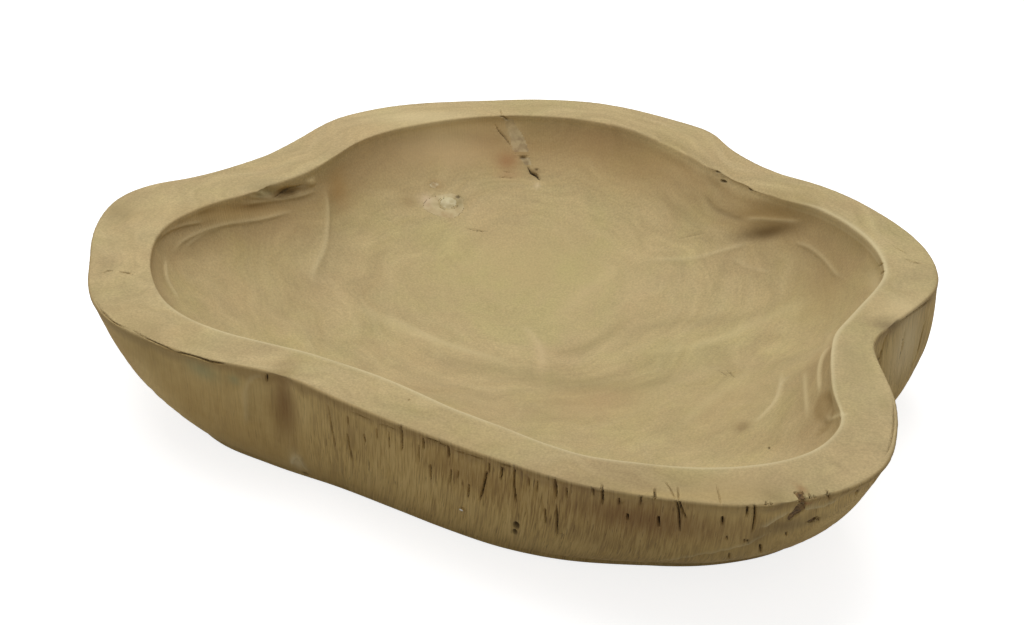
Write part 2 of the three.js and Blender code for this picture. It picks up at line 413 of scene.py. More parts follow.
# Drying checks of the front wall: pixels along each, half its width and its depth in mm
frontChecks = [
    ([(400, 425), (401, 439), (401, 452)], 0.6, 3),
    ([(422.5, 438), (423, 450)], 0.45, 2.4),
    ([(417.5, 446), (418.5, 464)], 0.3, 1.4),
    ([(429.8, 465), (430, 481)], 0.5, 2.6),
    ([(447.6, 446), (448, 459)], 0.55, 2.8),
    ([(450, 470), (449, 486)], 0.35, 1.6),
    ([(458, 471), (457, 480)], 0.3, 1.4),
    ([(468.5, 484), (467.5, 499)], 0.4, 1.8),
    ([(486, 472), (483, 487), (479.5, 501)], 0.6, 3),
    ([(488, 463), (488.6, 474)], 0.35, 1.6),
    ([(501.8, 467), (500, 481)], 0.6, 2.8),
    ([(514.4, 469), (513.2, 483), (515.6, 503)], 0.65, 3.2),
    ([(528, 478), (528.4, 488)], 0.3, 1.4),
    ([(536, 482), (535.5, 494)], 0.3, 1.4),
    ([(544, 510), (545, 525)], 0.5, 2.4),
    ([(554.4, 479), (555.4, 499)], 0.6, 3),
    ([(555.5, 505), (556.4, 520), (556.6, 538)], 0.45, 2.2),
    ([(566, 488), (566.5, 500)], 0.3, 1.4),
    ([(593, 488), (593.2, 497)], 0.4, 1.8),
    ([(602.2, 484), (601.6, 507)], 0.6, 3),
    ([(618, 499), (618.5, 507)], 0.4, 1.8),
    ([(627, 514.5), (627.6, 521)], 0.65, 2.6),
    ([(641, 496), (640, 507)], 0.4, 1.8),
    ([(654.8, 488), (655, 501)], 0.5, 2.4),
    ([(658, 516.5), (659, 527)], 0.75, 3),
    ([(676, 500), (678.5, 514), (680, 533)], 0.5, 2.6),
    ([(679, 501), (682, 511), (686, 519)], 0.5, 2.4),
    ([(722.4, 517), (722.5, 526)], 0.65, 2.8),
    ([(727, 537.5), (727, 541)], 0.5, 1.8),
    ([(729.4, 553), (729, 559)], 0.4, 1.6),
    ([(744.4, 539.5), (744.4, 542.5)], 0.4, 1.6),
    ([(747.8, 506), (747.3, 519)], 0.55, 2.6),
    ([(747.8, 540), (747.8, 543)], 0.4, 1.6),
    ([(754.7, 503), (755, 518), (752.4, 533)], 0.55, 2.8),
    ([(760.4, 545.5), (761, 553.5)], 0.6, 2.6),
    ([(786.6, 533), (787, 537.5)], 0.6, 2.4),
    ([(820, 518.5), (819, 523)], 0.45, 2),
    ([(828.6, 495), (830, 501)], 0.5, 2.2),
    ([(858.6, 490.5), (857, 497)], 0.5, 2.2),
    ([(876.6, 479), (875.6, 483.5)], 0.5, 2),
    ([(327.8, 406), (331, 426), (335, 448)], 0.4, 2),
    ([(346, 434), (349, 448), (352, 463)], 0.45, 2.2),
    ([(347, 416), (348, 426)], 0.35, 1.6),
    ([(363.4, 434), (365, 443)], 0.4, 1.8),
    ([(376, 428), (376.6, 440)], 0.3, 1.4),
    ([(388, 431), (389, 449)], 0.3, 1.4),
    ([(266.4, 374), (266, 383)], 0.5, 2),
    ([(306, 472), (312, 477)], 0.35, 1.4),
]
# Cracks that lie on the rim, in the hollow and just under the rim's edge
fineCracks = [
    ([(665, 481), (671, 490), (676, 500)], 0.3, 0.9),
    ([(677.6, 486), (679, 501)], 0.3, 1.0),
    ([(716.6, 485), (719, 495), (721.4, 506)], 0.28, 0.7),
    ([(101.6, 273.4), (107, 271), (113, 270.6)], 0.4, 1.0),
    ([(119, 271.4), (126, 272.4), (133.4, 273.8)], 0.48, 1.4),
    ([(893, 246), (901, 250), (908.6, 254)], 0.4, 0.7),
    ([(905.4, 258.4), (914, 262), (923.4, 264.2)], 0.5, 1.0),
    ([(500.6, 109), (501.6, 115)], 0.35, 0.7),
    ([(500, 116), (504, 117.4), (508, 120.6)], 0.5, 1.2),
    ([(494.6, 124), (499, 131.6), (505, 138), (511, 147)], 0.42, 1.0),
    ([(519, 156), (524, 157), (528, 155.4)], 0.5, 0.5),
    ([(527.6, 167), (531, 172.6), (536, 175.6), (540, 180.6)], 1.2, 2),
    ([(503, 171.6), (508, 172.4), (513, 172.6)], 0.3, 0.5),
    ([(496, 177), (505, 177.6), (516, 178.6)], 0.28, 0.45),
    ([(274, 198), (283, 192.6), (293, 187.4), (302, 185.4)], 0.35, 0.8),
    ([(95.6, 300), (103, 311.6), (115, 322.6), (129.8, 329)], 0.45, 1.1),
    ([(464, 227.6), (475, 230), (488, 231.6)], 0.42, 0.9),
    ([(384.6, 219.4), (394.6, 220.8)], 0.35, 0.5),
    ([(678, 238.6), (692, 236), (705.6, 232.6)], 0.4, 0.5),
    ([(718, 370), (724, 373.6), (728.6, 376.8)], 0.5, 0.8),
    ([(726.4, 370), (730.6, 373.6), (735, 378)], 0.5, 0.8),
    ([(176, 352.2), (194.4, 356.2), (209.4, 361.6), (224.3, 364.2)], 0.75, 2),
    ([(129.8, 327.8), (149.7, 339.6), (176, 352.2)], 0.4, 1),
    ([(350, 411.5), (370, 420.5)], 0.4, 1),
    ([(379, 424), (396, 430)], 0.4, 1.2),
    ([(424, 437.8), (436, 442), (447, 447)], 0.55, 1.4),
    ([(452, 450.4), (468, 455), (486, 460.4)], 0.5, 1.2),
    ([(496, 463), (512, 467.6)], 0.4, 1),
    ([(407.6, 399), (411, 399.6)], 0.5, 0.9),
    ([(893, 398), (894, 420), (891, 442), (884, 457)], 0.4, 0.9),
    ([(931, 299.5), (916, 311), (900, 323)], 0.55, 1.6),
    ([(878, 267), (884, 262)], 0.4, 0.6),
    ([(879.6, 275), (885.4, 270)], 0.4, 0.6),
    ([(766, 501), (766.6, 506)], 0.4, 1.4),
    ([(770.6, 501.5), (771.4, 506)], 0.4, 1.4),
    ([(808.6, 492.6), (811.4, 500)], 0.5, 1.8),
    ([(814, 494.6), (815.4, 499.6)], 0.4, 1.4),
    ([(826.6, 489.6), (829.4, 498)], 0.6, 2),
]
# Small open holes and pits: pixel, half sizes in pixels and depth in mm
wormHoles = [
    ((516, 525.6), (3.2, 3.4), 3.5),
    ((514.6, 532.2), (2.4, 2.6), 2.5),
    ((458, 197), (2.4, 1.3), 1.0),
    ((523, 157.6), (3.6, 1.8), 0.45),
    ((536.6, 169.6), (1.5, 1.2), 0.9),
    ((716, 167), (2.6, 1.6), 1.2),
    ((722.4, 177), (3, 1.6), 1.4),
    ((748, 185), (2.2, 1.2), 1),
    ((769, 448), (1.2, 1.2), 0.7),
    ((305, 473), (3, 1.6), 0.8),
]
# Ridges and steps that the gouge left: pixels along each, half its width and its height in mm, then how
# deep and how wide the trough beside it is, on the left of its run where the depth is above zero
gougeRidges = [
    ([(325.4, 188), (328.8, 213), (325.4, 246), (313.8, 273), (315, 284)], 1.9, 0.5, 1.0, 14),
    ([(646, 259), (690, 258.3), (723.5, 250.5), (751.4, 242.7)], 1.7, 0.4, -0.4, 14),
    ([(793.8, 241.6), (810.5, 248.3), (824, 259.5), (835, 273), (842, 278)], 1.6, 0.4, -0.6, 12),
    ([(730, 257), (750, 268), (772.6, 273)], 1.6, 0.22, -0.25, 10),
    ([(743.6, 219.3), (763.7, 219), (801.6, 221.5)], 1.6, 0.3, 0.5, 12),
    ([(703.4, 194.7), (714.5, 208), (732.4, 217), (745, 219.8)], 1.8, -0.4, 0, 5),
    ([(830, 344), (822, 356), (818.3, 371), (819, 394)], 1.3, 0.6, 0.9, 4),
    ([(781.5, 371), (779.3, 387), (774.8, 400), (763.7, 413.5), (753, 423)], 1.6, 0.45, -0.45, 8),
    ([(788.4, 375), (784, 380), (779.6, 387)], 1.4, 0.4, 0, 5),
    ([(803.8, 371), (805, 392), (807, 416)], 1.5, 0.3, -0.25, 6),
    ([(824, 420.4), (835, 417.6), (846, 413)], 1.2, 0.5, 0, 4),
    (
        [(172.9, 253), (182.8, 241.4), (206, 229.8), (229.3, 224), (262.4, 219), (296, 210)],
        1.4,
        0.45,
        -0.5,
        7,
    ),
    ([(186, 246.3), (202.7, 234.7), (221, 228)], 1.3, 0.3, -0.3, 6),
    ([(166, 259.6), (168, 279.5), (179.5, 299.4)], 1.3, 0.5, -0.7, 4),
    ([(247, 426), (246, 405), (246.4, 388), (252.5, 378), (265, 374.4)], 1.5, 0.45, -0.9, 9),
    ([(522.4, 324.5), (539.3, 344), (543, 366)], 1.8, 0.2, 0.15, 9),
    ([(378, 312.4), (412, 327), (441, 341.5), (477.5, 353.6), (509, 361)], 1.8, 0.2, 0.15, 10),
    ([(250, 197), (275, 196), (290, 190), (316, 184)], 2, -0.5, -0.6, 6),
    ([(244, 204), (268, 201), (296, 197), (318, 190)], 1.5, 0.4, -0.7, 6),
    ([(158.6, 238.7), (169.8, 230.3), (186.6, 224.7), (203.5, 221.9)], 1.2, 0.35, -0.5, 5),
    ([(247, 196), (260, 197.6), (274, 198.4)], 1.1, 0.5, 0, 4),
    ([(291.5, 465), (294.5, 457.5), (300, 457), (304.5, 464.5), (309.6, 471.4)], 1.2, 1.3, 0, 4),
    ([(762, 528), (773, 521), (782, 516), (789, 512)], 1.6, 1.1, -1.2, 5),
    ([(799, 512), (810, 508), (823, 506.5), (838, 500.5)], 1.5, 1.1, -1.0, 4),
    ([(644, 562.6), (682, 557), (716, 551), (746, 544), (768, 534)], 1.6, 0.7, -0.8, 6),
]
# Hollows scooped or broken out of the surface, and a knob: pixel, half sizes in pixels, depth in mm
scoops = [
    ((828, 404), (9, 10), 1.4),
    ((826, 424), (13, 6), 1.2),
    ((766, 231), (24, 14), 1.0),
    ((282, 405), (20, 40), 2.4),
    ((742, 427), (9, 5), 0.9),
    ((262, 188), (17, 4.5), 1.8),
    ((289, 191), (13, 5), 2.2),
    ((736, 180), (28, 9), 0.9),
    ((893, 326), (9, 5), 1.6),
    ((790, 505), (10, 9), 1.2),
    ((811, 515), (8, 5), 1.2),
    ((523, 158), (7, 4), 0.5),
    ((311, 182.6), (5.5, 5), -0.9),
]


# Checks on the sides and the rear, which the photograph doesn't show
sideChecks = dict(
    seed=11,
    count=90,
    degrees=(-35, 170),  # round the bowl
    heights=(0.2, 0.98),  # lowest and highest, as shares of the wall
    length=(8, 30),  # mm, and so are the next two
    halfWidth=(0.25, 0.45),
    depth=(1.2, 2.6),
    lean=0.012,  # radians round the bowl, and so is the wander
    wander=0.0015,
    points=6,
)


def scatteredChecks():
    pick = random.Random(sideChecks["seed"])
    made = []
    for _ in range(sideChecks["count"]):
        angle = math.radians(pick.uniform(*sideChecks["degrees"]))
        length = pick.uniform(*sideChecks["length"]) / (wallHigh - wallLow)
        lowest, highest = sideChecks["heights"]
        start = pick.uniform(lowest, highest - length)
        lean = pick.uniform(-sideChecks["lean"], sideChecks["lean"])
        wander = sideChecks["wander"]
        path = []
        for t in np.linspace(0, 1, sideChecks["points"]):
            turn = angle + lean * t + pick.uniform(-wander, wander)
            u = start + length * t
            radius = wallRadius(turn, u)
            path.append((radius * math.cos(turn), radius * math.sin(turn), wallHeight(u)))
        width, depth = pick.uniform(*sideChecks["halfWidth"]), pick.uniform(*sideChecks["depth"])
        made.append((np.array(path) * mm, width, depth))
    return made


slim = 0.52  # dry wood closes its checks to about this share of the shadow that they show
wallCracks = scatteredChecks()
flatCracks = [(drawnLine(p, 1.5), w * slim, d) for p, w, d in frontChecks + fineCracks]
ridges = [(drawnLine(p), w, a, b, f) for p, w, a, b, f in gougeRidges]

inlayNames = [name for name in cadNodes if name != "bowl_body"]
inlayTrees = {name: treeOf([cadNodes[name]]) for name in inlayNames}
bodyTree = treeOf([cadNodes["bowl_body"]])
inlayTree = treeOf([cadNodes[name] for name in inlayNames])


def edgeEnds(mesh):
    return readArray(mesh.edges, "vertices", 2, np.int32)


# Longest side of each face, in mm
def longestSide(mesh):
    co, ends = readPoints(mesh), edgeEnds(mesh)
    length = np.linalg.norm(co[ends[:, 0]] - co[ends[:, 1]], axis=1) / mm
    loopEdges = readArray(mesh.loops, "edge_index", kind=np.int32)
    first = readArray(mesh.polygons, "loop_start", kind=np.int32)
    return np.maximum.reduceat(length[loopEdges], first)


# Selects the chosen edges or the chosen faces, and nothing else
def selectOnly(mesh, edges=None, faces=None):
    for items, chosen in ((mesh.vertices, None), (mesh.edges, edges), (mesh.polygons, faces)):
        items.foreach_set("select", np.zeros(len(items), dtype=bool) if chosen is None else chosen)
    bpy.context.tool_settings.mesh_select_mode = (False, faces is None, faces is not None)


def splitChosen(mesh, edges=None, faces=None):
    selectOnly(mesh, edges, faces)
    bpy.ops.object.mode_set(mode="EDIT")
    bpy.ops.mesh.subdivide(number_cuts=1, ngon=False)
    bpy.ops.object.mode_set(mode="OBJECT")


def nearMarks(points, normals, marks):
    near = np.zeros(len(points), dtype=bool)
    for path, reach in marks:
        near[nearLine(path, points, normals, reach * mm)[0]] = True
    return near


# Splits the faces near the marks, or those that the test picks, until their sides are under the cell
def refineFaces(mesh, marks, cell, test=None):
    for _ in range(5):
        centres = readArray(mesh.polygons, "center", 3)
        near = test(centres) if test else nearMarks(centres, readArray(mesh.polygons, "normal", 3), marks)
        chosen = near & (longestSide(mesh) > cell)
        if not chosen.any():
            break
        splitChosen(mesh, faces=chosen)


def besideInlay(centres, tree, reach):
    return np.array([tree.find_nearest(Vector(c), reach * mm)[0] is not None for c in centres])


# How far round each kind of mark the skin is refined, and to what cell, in mm
fineSkin = dict(
    cracks=((6, 4.5), (2.2, 2.2), (0.9, 0.95)),
    inlays=((4, 4), (1.2, 1.0)),
    smallInlays=(0.6, 0.5),
    ridgeCell=1.5,
)
smallNames = ("glue_bead", "floor_pin_knot", "fissure_filler_lower", "rim_bark_small")
smallTree = treeOf([cadNodes[name] for name in smallNames])
mesh = body.data
ends, co = edgeEnds(mesh), readPoints(mesh)
run = co[ends[:, 1]] - co[ends[:, 0]]
level = np.abs(run[:, 2]) < 0.3 * np.linalg.norm(run, axis=1)
middle = (co[ends[:, 0]] + co[ends[:, 1]]) / 2
outDir = middle * (1, 1, 0)
outDir /= np.maximum(np.linalg.norm(outDir, axis=1), 1e-9)[:, None]
nearCheck = nearMarks(middle, outDir, [(p, w + 1.6) for p, w, d in wallCracks])
splitChosen(mesh, edges=nearCheck & level)
refineFaces(mesh, [(p, w * 1.3) for p, w, a, b, f in ridges], fineSkin["ridgeCell"])
holeMarks = [(drawnLine([(p[0] - s[0], p[1]), (p[0] + s[0], p[1])]), s[1] + 1) for p, s, d in wormHoles]
for reach, cell in fineSkin["cracks"]:
    refineFaces(mesh, [(p, w + reach) for p, w, d in flatCracks] + holeMarks, cell)
for reach, cell in fineSkin["inlays"]:
    refineFaces(mesh, [], cell, lambda centres: besideInlay(centres, inlayTree, reach))
reach, cell = fineSkin["smallInlays"]
refineFaces(mesh, [], cell, lambda centres: besideInlay(centres, smallTree, reach))
print("refined,", len(mesh.polygons), "faces")


# Relief of the wood, laid along the normals of the smooth skin
co = readPoints(mesh)
normals = readArray(mesh.vertex_normals, "vector", 3)
points = co / mm
angles = np.arctan2(points[:, 1], points[:, 0])
radii = np.hypot(points[:, 0], points[:, 1])
heights = points[:, 2]
outward = (normals[:, :2] * points[:, :2]).sum(1) / np.maximum(radii, 1e-6)


def smooth(low, high, x):
    t = np.clip((x - low) / (high - low), 0, 1)
    return t * t * (3 - 2 * t)


def bell(x):
    return np.exp(-(x**2))


# Fibres run down the wall, so points on it are taken back to the rim above them
rimRound = evened(rimLine, 5)
rimXY = np.stack([rimRound * np.cos(castAngles), rimRound * np.sin(castAngles)], 1)


# Nearest place on the rounded rim line, for each point in plan
def nearestOnRim(plan):
    nearest = np.empty(len(plan), dtype=int)
    for first in range(0, len(plan), 4000):
        part = plan[first : first + 4000]
        far = (part**2).sum(1)[:, None] - 2 * part @ rimXY.T + (rimXY**2).sum(1)
        nearest[first : first + 4000] = far.argmin(1)
    best, least = rimXY[nearest], np.full(len(plan), 1e9)
    for step in (-1, 0):
        start, stop = rimXY[(nearest + step) % castSteps], rimXY[(nearest + step + 1) % castSteps]
        run = stop - start
        t = np.clip(((plan - start) * run).sum(1) / (run**2).sum(1), 0, 1)
        place = start + run * t[:, None]
        far = ((plan - place) ** 2).sum(1)
        best = np.where((far < least)[:, None], place, best)
        least = np.minimum(far, least)
    return best


# On the front the fibres lean less than the wall does
plan = points[:, :2]
toRim = nearestOnRim(plan) - plan
reach = np.maximum(np.linalg.norm(toRim, axis=1), 1e-6)
straight = toRim / reach[:, None]
leaned = straight * np.stack([1 - 1.15 * smooth(-0.2, -0.6, straight[:, 1]), np.ones(len(plan))], 1)
leaned /= np.linalg.norm(leaned, axis=1)[:, None]
onRim = plan + leaned * (reach / np.maximum((leaned * straight).sum(1), 0.3))[:, None]
fibrePoints = np.concatenate([onRim, heights[:, None]], 1)


def noiseOf(sizes, shift=0.0, places=points):
    scaled = places / np.array(sizes) + shift
    return np.array([noise.noise(p) for p in scaled.tolist()])


# Depth of each kind of relief and the cell of the noise behind it, in mm, then that noise's shift
reliefSizes = dict(
    flute=(1.3, (38, 38, 160), 0),
    furrow=(0.6, (5.5, 5.5, 50), 7.3),
    hair=(0.3, (2.2, 2.2, 18), 3.1),
    gouge=(0.5, (45, 45, 30), 11.7),
    fineGouge=(0.14, (16, 16, 16), 5.9),
    rimWave=(0.35, (30, 30, 30), 2.2),
    softEdge=(3.2, (14, 14, 14), 9.1),
    bark=(0.9, (2.6, 2.6, 2.6), 6.4),
)


def reliefOf(kind, places=points):
    depth, cell, shift = reliefSizes[kind]
    return depth, noiseOf(cell, shift, places)


# The inner edge at the rear right, which is worn down
wornEdge = dict(
    begins=(22, 34),  # degrees round the bowl, where it begins and is full
    ends=(58, 70),
    heights=(60, 74),  # mm, where the lowering begins and is full
    reach=7.5,  # mm from the mouth's line
    slump=2.1,  # mm, how far the edge itself gives way
    slumpReach=4.5,  # mm
)
# Pale edges: worn where hands and cloths rub at the outer edge, and a painted highlight along the lip: share
# at the outer edge, and width of the lip in mm
paleEdge = dict(outer=0.25, lip=1.4)
# How dark the painted shade in the holes of the wall and in the pits above it is
holeShade = dict(wall=0.85, above=0.5, wallBelow=500)  # the last in pixels down the photograph
wallMask = smooth(0.2, 0.6, outward) * (heights > 1)
underMask = smooth(-0.5, -0.9, normals[:, 2])
rimGap = radii - atAngle(mouthLine, angles)
rimMask = smooth(mouthHigh - 1, mouthHigh + 1, heights) * smooth(0.2, 0.8, normals[:, 2])
hollowMask = (1 - wallMask) * (1 - underMask) * (1 - rimMask)
hollowOrRim = (1 - wallMask) * (1 - underMask)
u = np.clip((heights - wallLow) / (wallHigh - wallLow), 0, 1)
fade = smooth(0.02, 0.35, u) * (1 - 0.7 * smooth(0.93, 1, u))
# The grain stands open on the front of the wall and lies closed on its left, which was rubbed smooth
openFront = 0.2 + 0.8 * smooth(-120, -60, points[:, 0]) * (1 - 0.35 * smooth(50, 110, points[:, 0]))
openGrain = openFront + (0.55 - openFront) * smooth(-30, 40, points[:, 1])
openGrain = np.clip(openGrain * (1 + 0.5 * noiseOf((60, 60, 60), 8.8)), 0, 1)
openGrain *= 0.5 + 0.5 * smooth(0.05, 0.4, u)
fade = fade * (0.35 + 0.65 * openGrain)
depth, waves = reliefOf("flute", fibrePoints)
lift = wallMask * fade * depth * (waves - 0.25)
depth, waves = reliefOf("furrow", fibrePoints)
lift -= wallMask * fade * depth * (1 - smooth(0, 0.3, np.abs(waves)))
depth, waves = reliefOf("hair", fibrePoints)
lift -= wallMask * fade * depth * np.abs(waves)
for kind in ("gouge", "fineGouge"):
    depth, waves = reliefOf(kind)
    lift += hollowMask * depth * waves
depth, waves = reliefOf("rimWave")
lift -= rimMask * depth * np.abs(waves)
turned = np.degrees(angles)
rearRight = smooth(*wornEdge["begins"], turned) * (1 - smooth(*wornEdge["ends"], turned))
wear = rearRight * smooth(*wornEdge["heights"], heights) * bell((rimGap - 1) / wornEdge["reach"])
depth, waves = reliefOf("softEdge")
drop = depth * wear * (0.9 + 0.5 * waves)
edgeGap = np.hypot(np.maximum(rimGap, 0), bowlHeight - heights)
slump = wornEdge["slump"] * rearRight * hollowOrRim * bell(edgeGap / wornEdge["slumpReach"])
worn = paleEdge["outer"] * smooth(78.4, 79.2, heights) * smooth(0.1, 0.5, outward)
# Painted highlight along the inner lip, on the front half only and not at the worn rear right
frontHalf = smooth(70, -30, points[:, 1] - 0.35 * points[:, 0])
lip = bell((rimGap - 1) / paleEdge["lip"]) * (heights > 75) * (1 - rearRight)
worn += lip * frontHalf * (1 + 0.6 * noiseOf((22, 22, 22), 4.4))
paintedShade = np.zeros(len(points))
# Along each ridge: a painted highlight on its crest, and painted shade in a groove and in the trough beside
# it
for path, width, crest, trough, fadeOut in ridges:
    found, far, along, side = nearLine(path, co, normals, max(width * 3, fadeOut * 2.2) * mm)
    far = far / mm
    taper = np.clip(np.sin(np.pi * np.clip(along, 0.02, 0.98)) * 2.2, 0, 1)
    bump = bell(far / width) * taper
    lift[found] += crest * bump * (0.6 + 0.4 * wallMask[found])
    worn[found] += np.clip(crest, 0, 1) * bump * (0.8 - 0.15 * wallMask[found])
    paintedShade[found] += 0.5 * np.clip(-crest, 0, 1) * bump
    beside = (1 - bell(far / width)) * bell(far / fadeOut) * taper
    onSide = smooth(-0.3, 0.3, side * np.sign(trough) * far / width)
    lift[found] -= abs(trough) * beside * onSide
    paintedShade[found] += 0.12 * abs(trough) * beside * onSide


spotDepth = 18  # mm, how far below and above its place a spot reaches


# Weights of an ellipse drawn on the skin about a pixel, its half sizes in pixels
def spotWeight(pixel, sizes):
    place, normal, look, reach = onSkin(*pixel)
    across = Vector((1, 0, 0))
    across = (across - normal * across.dot(normal)).normalized()
    upward = normal.cross(across)
    offset = co - np.array(place)
    total = (offset @ np.array(normal) / (spotDepth * mm)) ** 2
    for axis, size in zip((across, upward), sizes):
        seen = max((axis - look * axis.dot(look)).length, 0.25)
        total += (offset @ np.array(axis) / (size * reach / focal / seen)) ** 2
    return np.sqrt(total)


for pixel, sizes, depth in scoops:
    lift -= depth * (1 - smooth(0.25, 1.15, spotWeight(pixel, sizes)))
# Each crack keeps the signed distance to its line, which stays sharp between the points of the mesh; the
# material paints it dark as shade in the crack
crackPaint = dict(
    none=9,  # mm, stands for no crack near
    reach=2.4,  # mm
    fullDepth=2.4,  # mm, the strength is the crack's depth as a share of this
    strength=(0.22, 0.82),  # and is held between these two
)
crack = np.zeros((len(points), 4))
crack[:, 0], crack[:, 3] = crackPaint["none"], 1
for path, width, depth in wallCracks + flatCracks:
    found, far, along, side = nearLine(path, co, normals, crackPaint["reach"] * mm)
    far = far / mm
    taper = np.sin(np.pi * np.clip(along, 0, 1)) ** 0.6
    lift[found] -= depth * taper * (1 - smooth(width * 0.5, width + 0.45, far))
    half = width * 1.15 * taper * (1 - smooth(1.0, 1.7, far))
    closer = far < np.abs(crack[found, 0])
    found = found[closer]
    crack[found, 0] = (side * far)[closer]
    crack[found, 1] = half[closer]
    crack[found, 2] = np.clip(depth / crackPaint["fullDepth"], *crackPaint["strength"])
# Holes and pits sink, and are painted dark as shade in them
for pixel, sizes, depth in wormHoles:
    far = spotWeight(pixel, sizes)
    lift -= depth * (1 - smooth(0.4, 1.1, far))
    most = holeShade["wall" if pixel[1] > holeShade["wallBelow"] else "above"]
    paintedShade = np.maximum(paintedShade, most * (1 - smooth(0.5, 1.4, far)))


# Inlays: the faces of the skin over each CAD inlay become a plug in a recess
inlayCut = dict(
    depth=3.0,  # mm, and so are the others
    floor=0.2,  # left between the recess and the pocket of the solid
    play=0.05,  # between the plug's back and the recess
    thinnest=0.4,
    gapDepth=0.12,
    sunk=0.4,  # the bark lies this much lower
    bead=0.5,  # and the glue this much higher
)


# Depth of a solid below each point near the inlays, in mm, from a ray that starts a little above the skin
def coverOf(tree, reach, above=1.5):
    depth = np.full(len(co), 99.0)
    for k in nearInlay:
        out = Vector(normals[k])
        hit = tree.ray_cast(Vector(co[k]) + out * above * mm, -out, reach * mm)
        if hit[0] is not None:
            depth[k] = hit[3] / mm - above
    return depth


nearInlay = np.flatnonzero(besideInlay(co, inlayTree, 1.2))
nearInlay = nearInlay[(heights[nearInlay] < mouthHigh + 1.2) | (points[nearInlay, 1] < 0)]
pocket = coverOf(bodyTree, 40)
pocket[pocket > 90] = 0
owner = np.full(len(co), -1)
for number, name in enumerate(inlayNames):
    owner[(coverOf(inlayTrees[name], 3.6) < 1.8) & (owner < 0)] = number
loopVerts = readArray(mesh.loops, "vertex_index", kind=np.int32)
firstLoop = readArray(mesh.polygons, "loop_start", kind=np.int32)
faceLow = np.minimum.reduceat(owner[loopVerts], firstLoop)
faceHigh = np.maximum.reduceat(owner[loopVerts], firstLoop)
faceOwner = np.where(faceLow == faceHigh, faceLow, -1)
print("inlay faces", {n: int((faceOwner == k).sum()) for k, n in enumerate(inlayNames)})


# Growth rings about the pith, which follow the outline near the rim
pith = (12, 90)  # mm
outX, outY = rimLine * np.cos(castAngles) - pith[0], rimLine * np.sin(castAngles) - pith[1]
order = np.argsort(np.arctan2(outY, outX))
fromPith = points[:, :2] - pith
pithRadius = np.hypot(fromPith[:, 0], fromPith[:, 1])
pithTurn = np.arctan2(fromPith[:, 1], fromPith[:, 0])
pithAngles = np.arctan2(outY, outX)[order]
pithReach = np.interp(pithTurn, pithAngles, np.hypot(outX, outY)[order], period=2 * np.pi)
pithShare = np.clip(pithRadius / pithReach, 0, 1)
rings = pithRadius * (1 - pithShare) + pithShare**2 * rimLine.mean()
